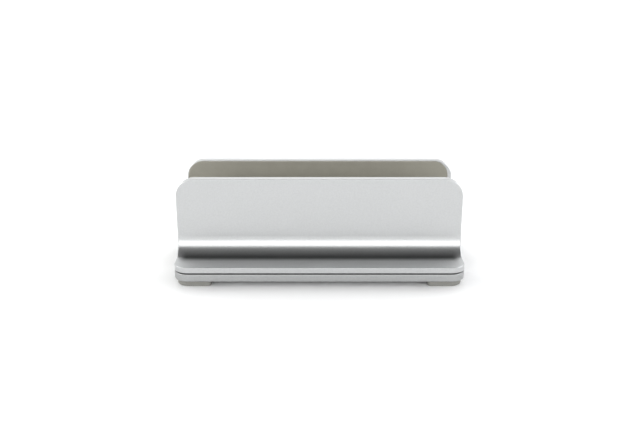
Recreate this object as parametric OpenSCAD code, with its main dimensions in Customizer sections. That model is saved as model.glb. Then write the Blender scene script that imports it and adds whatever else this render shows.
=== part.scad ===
// Upright stand that holds a closed laptop on its edge between two walls.
// Each wall is part of an L-shaped bracket. The brackets slide on the base plate and
// are clamped from below by screws, so that the slot fits thin and thick laptops.
// X runs along the width, Y from front to back and Z up. The origin is at the middle
// of the base, on the surface that the feet stand on. The slot is shown at its widest.

/* [Base plate] */
// Width of the base plate and of both brackets
base_w = 185; // [150:1:240]
// Thickness of the base plate
base_t = 5; // [4.4:0.1:8]
// Radius of the corners of the base plate and the flanges, seen from above
corner_r = 9.5; // [5:0.5:11.5]

/* [Brackets] */
// Distance from the outer edge of a flange to the outer face of its wall
flange_reach = 26; // [24:0.5:45]
// Thickness of a flange
flange_t = 4.4; // [3.6:0.1:8]
// Thickness of a wall
wall_t = 5.4; // [3:0.1:9]
// Height of a wall above the top of its flange
wall_h = 50.6; // [35:0.2:90]
// Radius of the two upper corners of a wall
wall_corner_r = 12; // [6:0.5:25]
// Radius of the hollow curve at the foot of a wall
curve_r = 13; // [13:0.5:24]
// Height above the flange at which that curve runs into the wall
curve_h = 12; // [8:0.5:12]

/* [Slot] */
// Clear width between the two wall pads, with the brackets apart
slot_open = 42; // [30:0.5:60]
// Clear width between the two wall pads, with the brackets pushed together
slot_closed = 14; // [13:0.5:28]

/* [Edges] */
// Radius of the round on every outer edge that a hand or a laptop meets
edge_r = 0.5; // [0.2:0.05:1]
// Radius of the finer round on the lower edge of the flanges, along the seam
seam_r = 0.3; // [0.15:0.05:0.8]
// Height of the shadow gap between a flange and the base plate
seam_gap_h = 0.6; // [0.3:0.05:1]
// Depth of that gap, from the outer edge of the flange inwards
seam_gap_d = 2; // [1:0.1:3]

/* [Wall pads] */
// Thickness of the pad on the inner face of each wall
pad_t = 1.2; // [0.6:0.1:2.5]
// Bare flat border of the wall beside its pad, left and right
pad_side = 1.35; // [1.1:0.05:5.5]
// Bare flat border of the wall above its pad
pad_top = 0.15; // [0.1:0.05:5.5]
// Bare border of the wall below its pad, down to the base plate
pad_foot = 3; // [2.5:0.1:10]
// Radius of the two lower corners of a wall pad
pad_low_r = 2; // [0.5:0.5:5]
// Sideways place of the rear pad, which is stuck on a little to the left
rear_pad_shift = -0.95; // [-1.1:0.05:1.1]

/* [Floor pad] */
// Bare length of the base plate past each end of the strip that the laptop rests on
floor_pad_end = 17.5; // [8:0.5:40]
// Width of that strip, from front to back
floor_pad_w = 11; // [6:0.5:12]
// Thickness of the strip
floor_pad_t = 1.6; // [1:0.1:3]
// Depth of the strip's recess in the base plate
floor_pad_sink = 0.6; // [0.3:0.1:0.8]
// Radius of the strip's corners
floor_pad_r = 2; // [0.5:0.5:3]

/* [Feet] */
// Height of a foot below the base plate
foot_h = 3.8; // [3:0.1:8]
// Length of a foot along the width
foot_l = 22; // [14:0.5:26]
// Depth of a foot from front to back
foot_d = 12; // [11:0.5:16]
// Distance from the edge of the base plate to the foot
foot_inset = 1.8; // [1:0.1:4]
// Radius of the three inner corners of a foot
foot_inner_r = 2.2; // [0.5:0.1:4]
// Depth of a foot's recess in the base plate
foot_sink = 0.8; // [0.4:0.1:1.2]

/* [Clamp screws] */
// Distance of a clamp screw's axis from the end of the base plate
screw_end = 32.5; // [26:0.5:50]
// Distance of a clamp screw's axis from the outer face of the wall
screw_back = 3; // [2.5:0.1:5]
// Thread diameter of a clamp screw
screw_d = 4; // [3:0.5:5]
// Diameter of the screw's head
head_d = 7.6; // [7:0.1:9]
// Height of the screw's head
head_h = 2.2; // [1.8:0.1:2.4]
// Height of the straight rim below the head's dome
head_rim = 0.3; // [0.1:0.05:0.6]
// Size of the six-sided socket across its flats
socket_af = 2.5; // [2:0.1:3]
// Depth of the socket
socket_h = 1.3; // [0.8:0.1:1.5]
// Outer diameter of the washer under the head
washer_d = 9; // [8:0.1:11]
// Thickness of the washer
washer_t = 0.8; // [0.5:0.1:1]
// Metal left above a screw hole, under the hollow curve
hole_skin = 1.9; // [1:0.1:2.5]

/* [Clearances] */
// Gap all round between a pad or foot and its recess
recess_gap = 0.15; // [0.05:0.05:0.3]
// Gap between a screw and the wall of its screw hole
thread_gap = 0.05; // [0.02:0.01:0.1]
// Gap between a screw and the sides of the slot that it slides in
slide_gap = 0.3; // [0.2:0.05:0.6]
// Gap between a washer and the sides of its relief
relief_gap = 0.5; // [0.3:0.1:1]
// Depth of a head below the underside of the base plate
head_depth = 0.4; // [0.1:0.1:0.6]
// Room past the tip of a screw in its hole
tip_gap = 0.6; // [0.3:0.1:1]

/* [Hidden] */
$fn = 96;

left = -1;
right = 1;
front = -1;
rear = 1;

aluminium = [0.80, 0.81, 0.82];
aluminium_plate = [0.72, 0.73, 0.74];
silicone = [0.56, 0.55, 0.50];
steel = [0.55, 0.56, 0.58];

// Heights of the main faces
plate_z = foot_h;
seam_z = plate_z + base_t;
flange_top_z = seam_z + flange_t;
top_z = flange_top_z + wall_h;

// Depths, from the front edge of the base to its rear edge
base_d = 2 * (flange_reach + wall_t + pad_t) + slot_open;
travel = (slot_open - slot_closed) / 2;
inner_face_y = slot_open / 2 + pad_t;
outer_face_y = inner_face_y + wall_t;

// The clamp, from the head of the screw up to the end of its hole
screw_x = base_w / 2 - screw_end;
screw_y = outer_face_y + screw_back;
relief_h = head_depth + head_h + washer_t;
web_t = base_t - relief_h;
hole_h = flange_t + max(0, curve_rise(screw_back + screw_d / 2)) - hole_skin;
shank_h = washer_t + web_t + hole_h - tip_gap;
shank_d = screw_d - 2 * thread_gap;
slide_d = screw_d + 2 * slide_gap;
relief_d = washer_d + 2 * relief_gap;
tip_bevel = shank_d / 10;

// Radius of the sphere whose cap spans the head and rises from its rim to its full height
dome_h = head_h - head_rim;
head_dome_r = (pow(head_d / 2, 2) + pow(dome_h, 2)) / (2 * dome_h);

// Length of the strip between the walls
floor_pad_l = base_w - 2 * floor_pad_end;

// How far a cutter reaches past the face that it cuts
over = 0.2;

// Height of the hollow curve above the flange, at a distance from the wall
function curve_rise(dist) = curve_h - sqrt(pow(curve_r, 2) - pow(curve_r - dist, 2));

// Distance from the wall at which the hollow curve is some depth below the flange's top
function curve_reach(depth) = curve_r - sqrt(pow(curve_r, 2) - pow(curve_h + depth, 2));

// Rectangle from the origin with four corner radii, from the origin anticlockwise
module rounded_rect(w, d, radii) {
    corners = [[0, 0], [w, 0], [w, d], [0, d]];
    difference() {
        square([w, d]);
        for (i = [0:3])
            translate(corners[i]) rotate(90 * i) spandrel(radii[i]);
    }
}

// What a rounded corner takes away from a square one
module spandrel(r) {
    difference() {
        translate([-over, -over]) square(r + over);
        translate([r, r]) circle(r);
    }
}

// Rectangle centred on the origin with one corner radius
module centred_rect(w, d, r) {
    translate([-w / 2, -d / 2]) rounded_rect(w, d, [r, r, r, r]);
}

// Long hole from the origin towards +Y
module long_hole(d, run) {
    circle(d = d);
    translate([0, run]) circle(d = d);
    translate([-d / 2, 0]) square([d, run]);
}

// Section of the cutter that rounds an edge: the solid lies at x > 0 and y < 0
module round_section(r) {
    difference() {
        translate([-over, -r]) square(r + over);
        translate([r, -r]) circle(r);
    }
}

// Cutter that rounds one face's edge along X, then two corners, then two legs.
// The face is at z = 0 with the solid below it, and the legs run to +Y.
module edge_round(w, corner, r, leg) {
    translate([-w / 2 + corner, 0, 0])
        rotate([90, 0, 90]) linear_extrude(w - 2 * corner) round_section(r);
    for (side = [0, 1]) mirror([side, 0, 0]) {
        translate([-w / 2, leg, 0])
            rotate([90, 0, 0]) linear_extrude(leg - corner) round_section(r);
        translate([-w / 2 + corner, corner, 0]) rotate(180)
            rotate_extrude(angle = 90) translate([corner, 0]) mirror([1, 0]) round_section(r);
    }
}

// Cutter that rounds the edge all round one face of a plate centred on the origin
module loop_round(w, d, corner, r) {
    for (turn = [0, 180])
        rotate(turn) translate([0, -d / 2, 0]) edge_round(w, corner, r, d / 2);
}

// Cutter that rounds the hollow curve where it runs out at the right-hand end.
// It is a quarter of a ring round the axis of the curve.
module curve_end_round() {
    translate([base_w / 2, flange_reach - curve_r, flange_t + curve_h])
        rotate([90, 0, 90]) rotate(-90) rotate_extrude(angle = 90)
            translate([curve_r, 0]) round_section(edge_r);
}

// Flange as a flat plate, with its top edge rounded on three sides
module flange_plate() {
    depth = flange_reach + wall_t;
    difference() {
        translate([-base_w / 2, 0, 0]) linear_extrude(flange_t)
            rounded_rect(base_w, depth, [corner_r, corner_r, 0, 0]);
        translate([0, 0, flange_t]) edge_round(base_w, corner_r, edge_r, depth + over);
    }
}

// Side section of a wall and the hollow curve at its foot. The curve goes on a little below
// the flange's top, so that its rounded ends and the flange's meet in a mitre at the crease.
module wall_section() {
    block_d = curve_reach(edge_r);
    translate([flange_reach, 0]) square([wall_t, flange_t + wall_h]);
    difference() {
        translate([flange_reach - block_d, 0])
            square([block_d + wall_t / 2, flange_t + curve_h]);
        translate([flange_reach - curve_r, flange_t + curve_h]) circle(curve_r);
    }
}

// Wall and hollow curve, trimmed to the wall's outline and rounded along their outer face
module wall_blank() {
    depth = flange_reach + wall_t;
    height = flange_t + wall_h;
    difference() {
        intersection() {
            translate([-base_w / 2, 0, 0])
                rotate([90, 0, 90]) linear_extrude(base_w) wall_section();
            translate([-base_w / 2, depth + over, -over]) rotate([90, 0, 0])
                linear_extrude(depth + 2 * over)
                    rounded_rect(base_w, height + over, [0, 0, wall_corner_r, wall_corner_r]);
        }
        translate([0, flange_reach, height]) rotate([90, 180, 0])
            edge_round(base_w, wall_corner_r, edge_r, wall_h - curve_h);
        for (side = [0, 1]) mirror([side, 0, 0]) curve_end_round();
    }
}

// Cutter for the shadow gap: a rebate under the three outer edges of a flange
module seam_gap() {
    depth = flange_reach + wall_t;
    inner_r = corner_r - seam_gap_d;
    translate([-base_w / 2, 0, -over]) linear_extrude(seam_gap_h + over)
        difference() {
            translate([-over, -over]) square([base_w + 2 * over, depth + 2 * over]);
            translate([seam_gap_d, seam_gap_d])
                rounded_rect(base_w - 2 * seam_gap_d, depth, [inner_r, inner_r, 0, 0]);
        }
}

// Bracket with its outer flange edge on the X axis and its underside at z = 0
module bracket_body() {
    depth = flange_reach + wall_t;
    height = flange_t + wall_h;
    difference() {
        union() {
            flange_plate();
            wall_blank();
        }
        translate([0, depth, height]) rotate([-90, 0, 0])
            edge_round(base_w, wall_corner_r, edge_r, height + over);
        seam_gap();
        translate([0, 0, seam_gap_h]) rotate([0, 180, 0])
            edge_round(base_w, corner_r, seam_r, depth + over);
        for (side = [left, right])
            translate([side * screw_x, flange_reach - screw_back, -over])
                cylinder(d = screw_d, h = hole_h + over);
    }
}

// Places what is drawn for the front bracket at the front, or mirrored at the rear
module at_end(end) {
    mirror([0, end == rear ? 1 : 0, 0]) children();
}

module bracket(end) {
    color(aluminium)
        at_end(end) translate([0, -base_d / 2, seam_z]) bracket_body();
}

// Slot through the base plate for one clamp screw, with a wide relief for its head.
// It starts where the screw is with the brackets apart and runs inwards.
module clamp_slot() {
    translate([0, 0, -over]) {
        linear_extrude(base_t + 2 * over) long_hole(slide_d, travel);
        linear_extrude(relief_h + over) long_hole(relief_d, travel);
    }
}

// Outline of the front left foot, grown by a gap
module foot_outline(gap) {
    outer_r = corner_r - foot_inset;
    translate([-base_w / 2 + foot_inset - gap, -base_d / 2 + foot_inset - gap])
        rounded_rect(foot_l + 2 * gap, foot_d + 2 * gap,
            [outer_r + gap, foot_inner_r + gap, foot_inner_r + gap, foot_inner_r + gap]);
}

module base_plate() {
    color(aluminium_plate)
    difference() {
        translate([0, 0, plate_z]) linear_extrude(base_t) centred_rect(base_w, base_d, corner_r);
        translate([0, 0, seam_z]) loop_round(base_w, base_d, corner_r, edge_r);
        translate([0, 0, plate_z]) rotate([180, 0, 0])
            loop_round(base_w, base_d, corner_r, edge_r);
        for (side = [0, 1], end = [front, rear]) mirror([side, 0, 0]) at_end(end) {
            translate([-screw_x, -screw_y, plate_z]) clamp_slot();
            translate([0, 0, plate_z - over])
                linear_extrude(foot_sink + over) foot_outline(recess_gap);
        }
        translate([0, 0, seam_z - floor_pad_sink]) linear_extrude(floor_pad_sink + over)
            centred_rect(floor_pad_l + 2 * recess_gap, floor_pad_w + 2 * recess_gap,
                floor_pad_r + recess_gap);
    }
}

module foot(side, end) {
    color(silicone)
        mirror([side == right ? 1 : 0, 0, 0]) at_end(end)
            linear_extrude(foot_h + foot_sink) foot_outline(0);
}

module floor_pad() {
    color(silicone)
        translate([0, 0, seam_z - floor_pad_sink]) linear_extrude(floor_pad_t)
            centred_rect(floor_pad_l, floor_pad_w, floor_pad_r);
}

// Pad on the inner face of a wall, moved sideways by shift
module wall_pad(end, shift) {
    pad_w = base_w - 2 * (edge_r + pad_side);
    pad_h = top_z - edge_r - pad_top - seam_z - pad_foot;
    high_r = wall_corner_r - edge_r - pad_side;
    color(silicone)
        at_end(end) translate([shift - pad_w / 2, -slot_open / 2, seam_z + pad_foot])
            rotate([90, 0, 0]) linear_extrude(pad_t)
                rounded_rect(pad_w, pad_h, [pad_low_r, pad_low_r, high_r, high_r]);
}

// Clamp screw with a domed head and a six-sided socket, head down
module clamp_screw(side, end) {
    head_top_z = plate_z + head_depth + head_h;
    color(steel)
    translate([side * screw_x, end * screw_y, head_top_z]) {
        difference() {
            intersection() {
                translate([0, 0, -head_h]) cylinder(d = head_d, h = head_h);
                translate([0, 0, head_dome_r - head_h]) sphere(head_dome_r);
            }
            translate([0, 0, -head_h - over])
                cylinder(d = socket_af / cos(30), h = socket_h + over, $fn = 6);
        }
        cylinder(d = shank_d, h = shank_h - tip_bevel);
        translate([0, 0, shank_h - tip_bevel])
            cylinder(d1 = shank_d, d2 = shank_d - 2 * tip_bevel, h = tip_bevel);
    }
}

module clamp_washer(side, end) {
    color(steel)
    translate([side * screw_x, end * screw_y, plate_z + head_depth + head_h])
        difference() {
            cylinder(d = washer_d, h = washer_t);
            translate([0, 0, -over]) cylinder(d = screw_d + slide_gap, h = washer_t + 2 * over);
        }
}

base_plate();
bracket(front);  // front_bracket
bracket(rear);  // rear_bracket
wall_pad(front, 0);  // front_wall_pad
wall_pad(rear, rear_pad_shift);  // rear_wall_pad
floor_pad();
foot(left, front);  // foot_front_left
foot(right, front);  // foot_front_right
foot(left, rear);  // foot_rear_left
foot(right, rear);  // foot_rear_right
clamp_screw(left, front);  // screw_front_left
clamp_screw(right, front);  // screw_front_right
clamp_screw(left, rear);  // screw_rear_left
clamp_screw(right, rear);  // screw_rear_right
clamp_washer(left, front);  // washer_front_left
clamp_washer(right, front);  // washer_front_right
clamp_washer(left, rear);  // washer_rear_left
clamp_washer(right, rear);  // washer_rear_right
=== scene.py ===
# %% [markdown]
# # An upright laptop stand in satin aluminium and silicone
# Two L-shaped aluminium brackets stand on a base plate, and silicone pads keep the laptop
# from touching metal. The packed model already holds every piece at its real size, in
# metres, with +Z up and the stand's feet at z = 0. This lesson never moves those pieces.
# It gives them finishes, models the soft silicone pieces again with rounded edges, and
# builds a small photo studio around them.

# %% Load the packed model
import math

import bpy
import numpy as np
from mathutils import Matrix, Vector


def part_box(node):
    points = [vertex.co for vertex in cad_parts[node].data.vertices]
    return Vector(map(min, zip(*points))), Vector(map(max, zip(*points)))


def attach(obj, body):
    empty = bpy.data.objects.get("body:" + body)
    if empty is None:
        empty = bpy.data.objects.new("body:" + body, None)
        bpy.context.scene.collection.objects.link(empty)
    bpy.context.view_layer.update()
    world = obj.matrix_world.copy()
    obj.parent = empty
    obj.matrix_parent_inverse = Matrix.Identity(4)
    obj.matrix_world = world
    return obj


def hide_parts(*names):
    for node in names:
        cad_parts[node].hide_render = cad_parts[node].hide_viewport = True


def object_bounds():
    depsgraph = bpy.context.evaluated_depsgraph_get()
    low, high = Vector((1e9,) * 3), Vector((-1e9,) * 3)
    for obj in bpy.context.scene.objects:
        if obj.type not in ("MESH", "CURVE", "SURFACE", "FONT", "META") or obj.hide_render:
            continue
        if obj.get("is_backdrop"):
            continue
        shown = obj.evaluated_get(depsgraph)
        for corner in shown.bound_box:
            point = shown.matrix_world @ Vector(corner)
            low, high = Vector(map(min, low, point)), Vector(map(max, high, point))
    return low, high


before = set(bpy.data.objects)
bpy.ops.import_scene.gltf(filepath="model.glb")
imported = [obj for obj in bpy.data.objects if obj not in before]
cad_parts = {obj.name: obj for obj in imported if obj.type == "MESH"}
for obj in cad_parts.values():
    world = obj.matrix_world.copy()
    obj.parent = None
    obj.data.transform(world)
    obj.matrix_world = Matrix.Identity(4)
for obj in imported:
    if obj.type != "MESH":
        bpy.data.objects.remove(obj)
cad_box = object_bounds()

MM = 0.001
print("pieces:", ", ".join(sorted(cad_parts)))
print("box in mm:", [[round(v / MM, 1) for v in corner] for corner in cad_box])

# %% [markdown]
# ## The camera
# The stand is seen from the front and from a little above, close enough for the rear wall
# to look smaller than the front one. A camera aims along its own -Z axis, so a turn of
# 90 degrees about X makes it level, and less than that tips it down. The lens and the
# distance together set how much the rear wall shrinks. They were found by fitting the
# corners of the modelled stand to its outline in the picture.

# %% Camera
LENS_MM = 45.35
TILT_DOWN_DEG = 17.9
CAMERA_PLACE = (0.0004, -0.5243, 0.2012)

camera_data = bpy.data.cameras.new("studio_camera")
camera_data.lens = LENS_MM
camera_data.clip_start = 0.01
camera_data.clip_end = 30
camera = bpy.data.objects.new("studio_camera", camera_data)
camera.location = CAMERA_PLACE
camera.rotation_euler = (math.radians(90 - TILT_DOWN_DEG), 0, 0)
bpy.context.scene.collection.objects.link(camera)
bpy.context.scene.camera = camera
print("camera stands", round(abs(CAMERA_PLACE[1]) / MM), "mm in front of the middle of the base")

# %% [markdown]
# ## Shader sums
# A shader is a graph of nodes, and long graphs are hard to read as a list of links. This
# class wraps one output socket, so that a sum such as 1 - mask * 0.3 can be written as it
# stands in a notebook and adds its own Math nodes. Every other node comes from one method,
# which takes the node's type, its settings and what goes into its sockets.

# %% Class for shader sums
class Wire:
    """One output socket. +, - and * on wires and numbers add Math nodes."""

    def __init__(self, tree, socket=None):
        self.tree, self.socket = tree, socket

    def node(self, kind, settings=None, sockets=None, out=0):
        """Adds a node: settings first, then socket values or wires. Gives one of its outputs."""
        made = self.tree.nodes.new(kind)
        for name, value in (settings or {}).items():
            setattr(made, name, value)
        for name, value in (sockets or {}).items():
            if isinstance(value, Wire):
                self.tree.links.new(value.socket, made.inputs[name])
            else:
                made.inputs[name].default_value = value
        return Wire(self.tree, made.outputs[out] if len(made.outputs) else None)

    def math(self, operation, a, b=0.0):
        """Any Math node, such as MAXIMUM or SQRT. Its second input is 0 unless b is given."""
        return self.node("ShaderNodeMath", {"operation": operation}, {0: a, 1: b})

    def __add__(self, other):
        return self.math("ADD", self, other)

    def __radd__(self, other):
        return self.math("ADD", other, self)

    def __sub__(self, other):
        return self.math("SUBTRACT", self, other)

    def __rsub__(self, other):
        return self.math("SUBTRACT", other, self)

    def __mul__(self, other):
        return self.math("MULTIPLY", self, other)

    def __rmul__(self, other):
        return self.math("MULTIPLY", other, self)

    def ramp(self, low, high):
        """Rises smoothly from 0 at low to 1 at high, as t * t * (3 - 2 * t) does."""
        settings = {"interpolation_type": "SMOOTHSTEP"}
        return self.node("ShaderNodeMapRange", settings, {0: self, 1: low, 2: high})

    def tint(self, dark, light):
        """Mixes two colours, with this wire as the factor."""
        colours = {0: self, 6: (*dark, 1), 7: (*light, 1)}
        return self.node("ShaderNodeMix", {"data_type": "RGBA"}, colours, out=2)

    def length(self, x, y, z):
        """Length of the vector with these three parts."""
        vector = self.node("ShaderNodeCombineXYZ", None, {"X": x, "Y": y, "Z": z})
        return self.node(
            "ShaderNodeVectorMath", {"operation": "LENGTH"}, {0: vector}, out="Value")

    def noise(self, per_metre, detail):
        """Noise on this vector, with about this many lumps per metre."""
        return self.node(
            "ShaderNodeTexNoise", None, {"Vector": self, "Scale": per_metre, "Detail": detail})

    def axes(self):
        """The three parts of a vector, as three wires."""
        parts = self.node("ShaderNodeSeparateXYZ", None, {0: self}).socket.node
        return [Wire(self.tree, part) for part in parts.outputs]


print("a wire can:", ", ".join(name for name in vars(Wire) if not name.startswith("_")))

# %% [markdown]
# ## The light
# Satin metal has no colour of its own to speak of: it shows a blurred picture of the room.
# So the room is the light, painted on the world as a function of direction. Two angles
# name a direction: how high it points, and how far it is turned away from the camera's
# side. A white sweep runs low in front and climbs high behind the stand. A wide softbox
# hangs in front, a smaller one at each side with the pale room below it, and one above
# the sweep at the back. The ceiling is nearly dark. The wall of a bracket mirrors the
# floor. Below it, the hollow curve turns upwards through a quarter circle, so it mirrors
# the rest in turn: the sweep, then the front softbox as a white band, then the ceiling as
# a dark one. The light falls off a little to both sides, and it is cooler on the right.

# %% Directions in the room
world = bpy.data.worlds.new("studio")
bpy.context.scene.world = world
world.use_nodes = True
world.node_tree.nodes.clear()
room = Wire(world.node_tree)
side, depth, height = room.node("ShaderNodeTexCoord").axes()
elevation = room.math("ARCSINE", height) * math.degrees(1)
turned = room.math("ABSOLUTE", room.math("ARCTAN2", side, depth * -1)) * math.degrees(1)
print("a direction takes", len(world.node_tree.nodes), "nodes")

# %% [markdown]
# ### Where each light ends
# Each light is a mask that is 1 inside its own limits, in degrees, and 0 outside. Where two
# lights meet, one fades out as the other fades in, and the ceiling takes what is left. A
# level says how bright a light is: under an even light of level 1, a perfectly white matt
# surface comes out just as white as the picture can show.

# %% Limits and levels of the lights
SWEEP_TOP_DEG, SWEEP_LEVEL = 8, 1.15
BACK_SWEEP_TOP_DEG = 32
FRONT_BOX_TOP_DEG, FRONT_BOX_LEVEL = 36.5, 2.9
SIDE_BOX_DEG, SIDE_BOX_LEVEL = (20, 40), 4.0
SIDE_ROOM_LEVEL = 0.75
BACK_BOX_TOP_DEG, BACK_BOX_LEVEL = 60, 3.3
CEILING_LEVEL = 0.19
FRONT_ENDS_DEG, BACK_STARTS_DEG = 60, 120
EDGE_DEG, CORNER_DEG = 1, 6
FALL_OFF, LOWEST_SHARE = 1.0, 0.8
WARM, COOL = (1.0, 1.0, 0.985), (0.985, 0.995, 1.015)
print("front softbox to sweep:", round(FRONT_BOX_LEVEL / SWEEP_LEVEL, 1), "to 1")


# %% Masks of the lights
def above(angle, limit, soft):
    """0 below the limit and 1 above it. The step reaches soft degrees to each side of it."""
    return angle.ramp(limit - soft, limit + soft)


def band(low, high):
    """1 where the elevation lies between two limits."""
    return above(elevation, low, EDGE_DEG) * (1 - above(elevation, high, EDGE_DEG))


at_back = above(turned, BACK_STARTS_DEG, CORNER_DEG)
in_front = 1 - above(turned, FRONT_ENDS_DEG, CORNER_DEG)
at_sides = 1 - at_back - in_front
front_box = in_front * band(SWEEP_TOP_DEG, FRONT_BOX_TOP_DEG)
side_boxes = at_sides * band(*SIDE_BOX_DEG)
back_box = at_back * band(BACK_SWEEP_TOP_DEG, BACK_BOX_TOP_DEG)
low_front = in_front * (1 - above(elevation, SWEEP_TOP_DEG, EDGE_DEG))
sweep = low_front + at_back * (1 - above(elevation, BACK_SWEEP_TOP_DEG, EDGE_DEG))
side_room = at_sides * (1 - above(elevation, SIDE_BOX_DEG[0], EDGE_DEG))
ceiling = 1 - sweep - front_box - side_boxes - back_box - side_room
print("the masks take", len(world.node_tree.nodes), "nodes in all")

# %% World
fall_off = room.math("MAXIMUM", 1 - side * side * FALL_OFF, LOWEST_SHARE)
level = ((sweep * SWEEP_LEVEL + front_box * FRONT_BOX_LEVEL) * fall_off
         + side_boxes * SIDE_BOX_LEVEL + back_box * BACK_BOX_LEVEL
         + side_room * SIDE_ROOM_LEVEL + ceiling * CEILING_LEVEL)
colour = (side * 0.5 + 0.5).tint(WARM, COOL)
background = room.node("ShaderNodeBackground", None, {"Color": colour, "Strength": level})
room.node("ShaderNodeOutputWorld", None, {"Surface": background})
bpy.context.scene.view_settings.view_transform = "Standard"
print("the world has", len(world.node_tree.nodes), "nodes")

# %% [markdown]
# ## The floor
# The picture's background is one white surface without a horizon. A wide flat disc of
# matt paper does the same, because it reaches far past the frame. Its finish is the
# simplest one here: a diffuse shader alone, which scatters light the same to all sides.

# %% Floor
FLOOR_RADIUS = 8.0
FLOOR_SIDES = 96

turn = np.linspace(0, 2 * np.pi, FLOOR_SIDES, endpoint=False)
rim = np.stack([np.cos(turn), np.sin(turn), np.zeros(FLOOR_SIDES)], axis=1) * FLOOR_RADIUS
floor_mesh = bpy.data.meshes.new("floor")
floor_mesh.from_pydata(rim.tolist(), [], [list(range(FLOOR_SIDES))])
floor = bpy.data.objects.new("floor", floor_mesh)
bpy.context.scene.collection.objects.link(floor)
floor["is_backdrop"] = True
print("the floor is", 2 * FLOOR_RADIUS, "m across")

# %% Finish of the floor
PAPER_COLOUR = (0.92, 0.92, 0.92, 1)


def new_finish(name):
    """An empty node material, and a wire in it to start from."""
    material = bpy.data.materials.new(name)
    material.use_nodes = True
    material.node_tree.nodes.clear()
    return material, Wire(material.node_tree)


paper, wire = new_finish("white_sweep")
paper_shader = wire.node("ShaderNodeBsdfDiffuse", None, {"Color": PAPER_COLOUR})
wire.node("ShaderNodeOutputMaterial", None, {"Surface": paper_shader})
floor_mesh.materials.append(paper)
print("finish of the floor:", paper.name)

# %% [markdown]
# ## Slabs of silicone
# The wall pads, the floor strip and the feet are all cut or moulded slabs: a flat outline
# with round corners, given a thickness, whose outer edge is softly rounded. So they share
# one surface. It has two parameters. One runs round the outline, and the other runs up
# the side, over the rounded edge and a little way on to the flat face.

# %% Outline of a slab
CORNERS = ((1, -1), (1, 1), (-1, 1), (-1, -1))
CORNER_STEPS = 12


def rounded_outline(low, high, radii):
    """Closed outline of a rectangle with quarter circles for corners, anticlockwise.

    Corner k is the rectangle's corner; its circle's middle lies radius r_k inwards on both
    axes. The outline there is middle_k + r_k * (cos t, sin t), with t over a quarter turn,
    and (cos t, sin t) is also the direction that points out of the slab.
    """
    signs = np.array(CORNERS)
    radii = np.asarray(radii, float)
    middles = np.where(signs > 0, high, low) - signs * radii[:, None]
    quarter = np.linspace(0, 90, CORNER_STEPS + 1)
    turn = np.radians(np.array([-90, 0, 90, 180])[:, None] + quarter)
    outward = np.stack([np.cos(turn), np.sin(turn)], axis=-1)
    points = middles[:, None] + radii[:, None, None] * outward
    return points.reshape(-1, 2), outward.reshape(-1, 2)


points, _ = rounded_outline((0, 0), (3, 2), (1, 1, 0.5, 0.5))
print("an outline has", len(points), "points, all within", points.min(axis=0), points.max(axis=0))

# %% Profile of a slab's edge
EDGE_STEPS = 7
HOLD = 0.08 * MM


def edge_profile(thickness, edge):
    """Rows of (inset, height) up the side of a slab and over its rounded edge.

    inset = edge * (1 - cos t) and height = thickness - edge * (1 - sin t), with t from 0 to
    90 degrees. One more row on the flat face holds the shading there flat.
    """
    t = np.radians(np.linspace(0, 90, EDGE_STEPS + 1))
    curve = np.stack([edge * (1 - np.cos(t)), thickness - edge * (1 - np.sin(t))], axis=1)
    return np.concatenate([[[0, 0]], curve, [[edge + HOLD, thickness]]])


profile = edge_profile(1.0, 0.2)
print("a profile has", len(profile), "rows, and its curve ends at", profile[-2])

# %% Surface of a slab
SHARP_DEG = 50


def slab(cad_name, across, up, radii, edge):
    """Builds the slab that fills a CAD node's box, and shows it instead of that node.

    across and up span the slab's plane, and its third axis, across x up, points from the
    seat to the rounded face. Point (j, i) is outline_i - inset_j * outward_i in the plane,
    at height_j above the seat.
    """
    frame_axes = np.array([across, up, np.cross(across, up)], float)
    corners = np.array(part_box(cad_name)) @ frame_axes.T
    low, high = corners.min(axis=0), corners.max(axis=0)
    outline, outward = rounded_outline(low[:2], high[:2], radii)
    inset, height = edge_profile(high[2] - low[2], edge).T
    plane = outline - inset[:, None, None] * outward
    lift = np.broadcast_to((low[2] + height)[:, None, None], plane.shape[:2] + (1,))
    vertices = np.concatenate([plane, lift], axis=-1) @ frame_axes

    rows, count = plane.shape[:2]
    j, i = np.meshgrid(np.arange(rows - 1), np.arange(count), indexing="ij")
    here, beside = j * count + i, j * count + (i + 1) % count
    quads = np.stack([here, beside, beside + count, here + count], axis=-1).reshape(-1, 4)
    seat = np.arange(count)[::-1]
    face = np.arange(count) + (rows - 1) * count

    mesh = bpy.data.meshes.new(cad_name + "_silicone")
    faces = quads.tolist() + [seat.tolist(), face.tolist()]
    mesh.from_pydata(vertices.reshape(-1, 3).tolist(), [], faces)
    mesh.shade_smooth()
    mesh.set_sharp_from_angle(angle=math.radians(SHARP_DEG))
    piece = bpy.data.objects.new(cad_name + "_silicone", mesh)
    bpy.context.scene.collection.objects.link(piece)
    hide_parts(cad_name)
    print(piece.name, "has", len(mesh.polygons), "faces")
    return piece


# %% [markdown]
# ## The wall pads
# On the real stand a sheet of silicone is glued to each wall's inner face, with a narrow
# border of metal left round it. Its upper corners follow the wall's. The rounded face
# looks into the slot: that is -Y on the rear wall and +Y on the front wall.

# %% Wall pads
PAD_TOP_RADIUS = 10.15 * MM
PAD_FOOT_RADIUS = 2 * MM
PAD_EDGE = 0.35 * MM

pad_radii = (PAD_FOOT_RADIUS, PAD_TOP_RADIUS, PAD_TOP_RADIUS, PAD_FOOT_RADIUS)
rear_pad = slab("rear_wall_pad", (1, 0, 0), (0, 0, 1), pad_radii, PAD_EDGE)
front_pad = slab("front_wall_pad", (-1, 0, 0), (0, 0, 1), pad_radii, PAD_EDGE)
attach(rear_pad, "rear_side")
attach(front_pad, "front_side")
print("a wall pad is", [round(v / MM, 1) for v in rear_pad.dimensions], "mm")

# %% [markdown]
# ## The floor strip
# The laptop's lower edge stands on a silicone strip on the floor of the slot. It is the
# same slab lying down, with its rounded face up.

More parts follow.
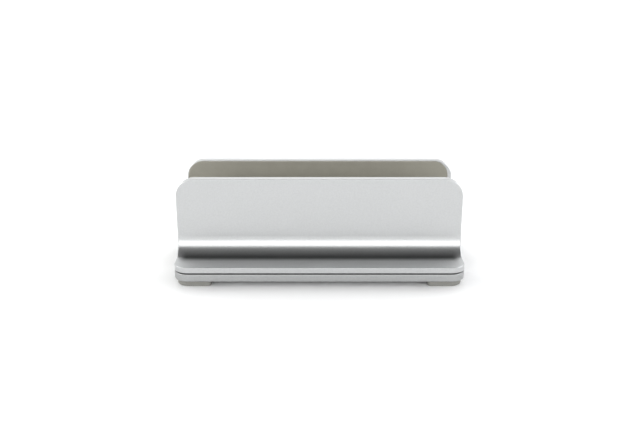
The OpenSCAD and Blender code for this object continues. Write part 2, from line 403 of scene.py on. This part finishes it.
# %% Floor strip
STRIP_RADIUS = 2 * MM
STRIP_EDGE = 0.4 * MM

strip = slab("floor_pad", (1, 0, 0), (0, 1, 0), (STRIP_RADIUS,) * 4, STRIP_EDGE)
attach(strip, "base")
print("the strip is", [round(v / MM, 1) for v in strip.dimensions], "mm")

# %% [markdown]
# ## The feet
# A foot is a moulded block in a shallow pocket under the plate. Its outer corner follows
# the plate's large corner, and its other corners are small. The rounded face points down,
# so the plane's axes are chosen with across x up = -Z. The lower edge is rounded more
# than a pad's, as a moulded foot's edge is.

# %% Feet
FOOT_OUTER_RADIUS = 7.7 * MM
FOOT_INNER_RADIUS = 2.2 * MM
FOOT_EDGE = 0.7 * MM

feet = []
for end, toward_front in (("front", 1), ("rear", -1)):
    for hand, toward_right in (("left", -1), ("right", 1)):
        outer = (toward_right, toward_front)
        radii = [FOOT_OUTER_RADIUS if corner == outer else FOOT_INNER_RADIUS
                 for corner in CORNERS]
        feet.append(slab(f"foot_{end}_{hand}", (1, 0, 0), (0, -1, 0), radii, FOOT_EDGE))
        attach(feet[-1], "base")
print("a foot is", [round(v / MM, 1) for v in feet[0].dimensions], "mm")

# %% [markdown]
# ## Satin aluminium
# The metal is blasted with fine glass beads and then anodised. The beads leave tiny pits,
# which is what blurs the room in it. The noise here is coarser than the real pits, at a
# few tenths of a millimetre, so that a picture can still show it. It changes the tone and
# the roughness a little and tips the surface by a hair, so that close views show grain and
# the whole stand still looks smooth.

# %% Finish of the metal
GRAIN_PER_METRE, SPECK_PER_METRE, CLOUD_PER_METRE = 2600.0, 900.0, 30.0
NOISE_DETAIL = 2.0
NOISE_LOW, NOISE_HIGH = 0.25, 0.75
FINE_SHARE, CLOUD_SHARE = 0.4, 0.2
TONE_SPREAD = 0.07
BLASTED_ROUGHNESS, ROUGHNESS_SPREAD = 0.30, 0.1
PIT_STRENGTH, PIT_DEPTH = 0.2, 0.02 * MM
PLATE_SHADE = (0.42, 0.425, 0.425)


def around(shade, darker, lighter):
    """Two colours on either side of a shade, for the two ends of a tint."""
    return [c * (1 - darker) for c in shade], [c * (1 + lighter) for c in shade]


def satin_aluminium(name, shade, places=None):
    """Bead-blasted aluminium: fine pits that scatter the light, and a slow change in tone.

    places turns a place into the share of its tone that the metal keeps there under painted
    shade, and into what is added to its roughness.
    """
    material, wire = new_finish(name)
    place = wire.node("ShaderNodeTexCoord", None, None, out="Object")
    scales = (GRAIN_PER_METRE, SPECK_PER_METRE, CLOUD_PER_METRE)
    grain, speck, cloud = (place.noise(scale, NOISE_DETAIL) for scale in scales)
    fine = grain.ramp(NOISE_LOW, NOISE_HIGH) + speck.ramp(NOISE_LOW, NOISE_HIGH)
    tone = fine * FINE_SHARE + cloud * CLOUD_SHARE
    colour = tone.tint(*around(shade, TONE_SPREAD, TONE_SPREAD))
    rough = (grain - 0.5) * ROUGHNESS_SPREAD + BLASTED_ROUGHNESS
    # Painted shade: where places asks for it, the colour is scaled down.
    if places:
        painted_shade_factor, rougher = places(place)
        colour = wire.node(
            "ShaderNodeVectorMath", {"operation": "SCALE"}, {0: colour, "Scale": painted_shade_factor})
        rough = rough + rougher
    bump = wire.node(
        "ShaderNodeBump", None, {"Strength": PIT_STRENGTH, "Distance": PIT_DEPTH, "Height": grain})
    shader = wire.node("ShaderNodeBsdfPrincipled", None, {
        "Base Color": colour, "Metallic": 1.0, "Roughness": rough, "Normal": bump})
    wire.node("ShaderNodeOutputMaterial", None, {"Surface": shader})
    return material


plate_finish = satin_aluminium("satin_plate", PLATE_SHADE)
print("the plate's finish has", len(plate_finish.node_tree.nodes), "nodes")

# %% [markdown]
# ### Where a bracket differs
# Three places on a bracket look different in the picture, and each gets its own mask, made
# from the place on the piece. The metal's colour is darkened towards the crease where the
# hollow curve meets the flange: this is painted shade for the shade that gathers in the
# crease. The flat top of a flange is duller, likely because the beads hit it squarely. The
# shadow gap under a flange's rim is nearly black, darker than bare metal comes out there,
# so its inside gets painted shade, a nearly black tone. That rim is a rectangle with round
# corners: it lies beyond a fixed distance from a smaller rectangle that has the middles of
# its corner circles for corners.

# %% Places on a bracket, measured from the stand's outline and from the seam
HALF_WIDTH, HALF_DEPTH = cad_box[1][0], cad_box[1][1]
SEAM_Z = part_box("base_plate")[1][2]
CREASE_Y, CREASE_Z = HALF_DEPTH - 18 * MM, SEAM_Z + 4.4 * MM
CREASE_HALF, CREASE_REACH = HALF_WIDTH - 6.5 * MM, 7 * MM
CORNER_RADIUS = 9.5 * MM
GAP_DEPTH, GAP_HEIGHT = 2.05 * MM, 0.8 * MM
STEP = 0.05 * MM
CREASE_SHADE, GAP_SHADE, FLANGE_ROUGHER = 0.28, 0.05, 0.3


def bracket_places(place):
    """Share of its tone that a bracket keeps at a place, and what its roughness gains there.

    Both brackets are alike, so the absolute value of x and y folds them on to one corner.
    The share is painted shade: it rises from CREASE_SHADE to 1 with the distance from the
    crease, and is GAP_SHADE times that in the shadow gap. Only the flat top of a flange gets
    rougher.
    """
    x, y, z = place.axes()
    x, y = place.math("ABSOLUTE", x), place.math("ABSOLUTE", y)
    past_end = place.math("MAXIMUM", x - CREASE_HALF)
    from_crease = place.length(past_end, y - CREASE_Y, z - CREASE_Z)
    # Painted shade: the colour darkens towards the crease, where shade gathers.
    painted_shade_factor = from_crease.ramp(0.0, CREASE_REACH) * (1 - CREASE_SHADE) + CREASE_SHADE
    past_x = place.math("MAXIMUM", x - (HALF_WIDTH - CORNER_RADIUS))
    past_y = place.math("MAXIMUM", y - (HALF_DEPTH - CORNER_RADIUS))
    gap_start = CORNER_RADIUS - GAP_DEPTH
    in_rim = place.length(past_x, past_y, 0.0).ramp(gap_start - STEP, gap_start)
    # Painted shade: the inside of the shadow gap is made nearly black.
    gap_painted_shade = in_rim * (1 - z.ramp(SEAM_Z + GAP_HEIGHT, SEAM_Z + GAP_HEIGHT + STEP))
    flange_top = 1 - place.math("ABSOLUTE", z - CREASE_Z).ramp(STEP / 2, STEP)
    return painted_shade_factor * (1 - gap_painted_shade * (1 - GAP_SHADE)), flange_top * FLANGE_ROUGHER


print("the crease lies at y", round(CREASE_Y / MM, 1), "and z", round(CREASE_Z / MM, 1), "mm")

# %% Finish of the brackets
BRACKET_SHADE = (0.513, 0.52, 0.522)

bracket_finish = satin_aluminium("satin_bracket", BRACKET_SHADE, bracket_places)
print("a bracket's finish has", len(bracket_finish.node_tree.nodes), "nodes")

# %% [markdown]
# ## Silicone
# The pads are warm grey, matt and slightly dusty. Silicone picks up fine dust, so a
# sparse noise lightens small specks of it, and a wider one drifts the tone.

# %% Finish of the silicone
MOTTLE_PER_METRE, TEXTURE_PER_METRE = 160.0, 1800.0
MOTTLE_DETAIL, TEXTURE_DETAIL = 3.0, 2.0
MIXED_LOW, MIXED_HIGH = 0.3, 0.7
MOTTLE_SHARE, TEXTURE_SHARE, DUST_SHARE = 0.5, 0.3, 0.4
DUST_LOW, DUST_HIGH = 0.62, 0.72
DARKER, LIGHTER = 0.05, 0.06
MATT_ROUGHNESS, DUST_ROUGHER = 0.62, 0.2
TEXTURE_STRENGTH, TEXTURE_DEPTH = 0.35, 0.03 * MM
PAD_SHADE, FOOT_SHADE = (0.262, 0.252, 0.212), (0.22, 0.218, 0.20)


def silicone(name, shade):
    """Matt rubber: mottled tone, light specks of dust and a fine moulded texture."""
    material, wire = new_finish(name)
    place = wire.node("ShaderNodeTexCoord", None, None, out="Object")
    mottle = place.noise(MOTTLE_PER_METRE, MOTTLE_DETAIL)
    texture = place.noise(TEXTURE_PER_METRE, TEXTURE_DETAIL)
    dust = texture.ramp(DUST_LOW, DUST_HIGH)
    tone = (mottle.ramp(MIXED_LOW, MIXED_HIGH) * MOTTLE_SHARE
            + texture.ramp(MIXED_LOW, MIXED_HIGH) * TEXTURE_SHARE + dust * DUST_SHARE)
    bump = wire.node("ShaderNodeBump", None, {
        "Strength": TEXTURE_STRENGTH, "Distance": TEXTURE_DEPTH, "Height": texture})
    shader = wire.node("ShaderNodeBsdfPrincipled", None, {
        "Base Color": tone.tint(*around(shade, DARKER, LIGHTER)), "Metallic": 0.0,
        "Roughness": MATT_ROUGHNESS + dust * DUST_ROUGHER, "Normal": bump})
    wire.node("ShaderNodeOutputMaterial", None, {"Surface": shader})
    return material


pad_finish = silicone("warm_grey_silicone", PAD_SHADE)
foot_finish = silicone("foot_silicone", FOOT_SHADE)
print("the silicone's finish has", len(pad_finish.node_tree.nodes), "nodes")

# %% [markdown]
# ## Screw steel
# The clamp screws and washers are turned on a lathe, which leaves rings round their own
# axis. The four screws stand at mirrored places, so the absolute value of x and y folds
# them on to one, and the rings are a sine of the distance from its axis.

# %% Finish of the screws
SCREW_X, SCREW_Y, _ = np.abs(np.mean(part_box("screw_rear_right"), axis=0)).tolist()
RING_TURN_PER_METRE = 9000.0
STEEL_DARK, STEEL_LIGHT = (0.42, 0.43, 0.44), (0.52, 0.53, 0.54)
TURNED_ROUGHNESS, RING_ROUGHER = 0.24, 0.1
RING_STRENGTH, RING_DEPTH = 0.3, 0.03 * MM

steel_finish, wire = new_finish("turned_steel")
x, y, _ = wire.node("ShaderNodeTexCoord", None, None, out="Object").axes()
dx = wire.math("ABSOLUTE", x) - SCREW_X
dy = wire.math("ABSOLUTE", y) - SCREW_Y
radius = wire.math("SQRT", dx * dx + dy * dy)
rings = wire.math("SINE", radius * RING_TURN_PER_METRE) * 0.5 + 0.5
bump = wire.node("ShaderNodeBump", None, {
    "Strength": RING_STRENGTH, "Distance": RING_DEPTH, "Height": rings})
shader = wire.node("ShaderNodeBsdfPrincipled", None, {
    "Base Color": rings.tint(STEEL_DARK, STEEL_LIGHT), "Metallic": 1.0,
    "Roughness": rings * RING_ROUGHER + TURNED_ROUGHNESS, "Normal": bump})
wire.node("ShaderNodeOutputMaterial", None, {"Surface": shader})
print("rings stand", round(2 * math.pi / RING_TURN_PER_METRE / MM, 2), "mm apart")

# %% [markdown]
# ## Put the finishes on
# Each piece of the packed model names a material slot. The new silicone pieces take the
# finish of the slot of the piece that they stand for.

# %% Finishes on the pieces
finishes = {
    "aluminium_bracket": bracket_finish,
    "aluminium_plate": plate_finish,
    "silicone_pad": pad_finish,
    "silicone_foot": foot_finish,
    "screw_steel": steel_finish,
}
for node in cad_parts.values():
    for slot in node.material_slots:
        slot.material = finishes[slot.material.name]
pads = [rear_pad, front_pad, strip]
for soft_pieces, slot_name in ((pads, "silicone_pad"), (feet, "silicone_foot")):
    for piece in soft_pieces:
        piece.data.materials.append(finishes[slot_name])
print("finishes:", ", ".join(finish.name for finish in finishes.values()))

# %% [markdown]
# ## Check the size
# The new silicone pieces must not make the stand any bigger than the packed model. The last
# cell prints how much the stand's box grew over the packed model's box.

# %% Size
visual_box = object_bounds()
growth = np.abs(visual_box) - np.abs(cad_box)
print("grew by", (growth / MM).round(3).tolist(), "mm")
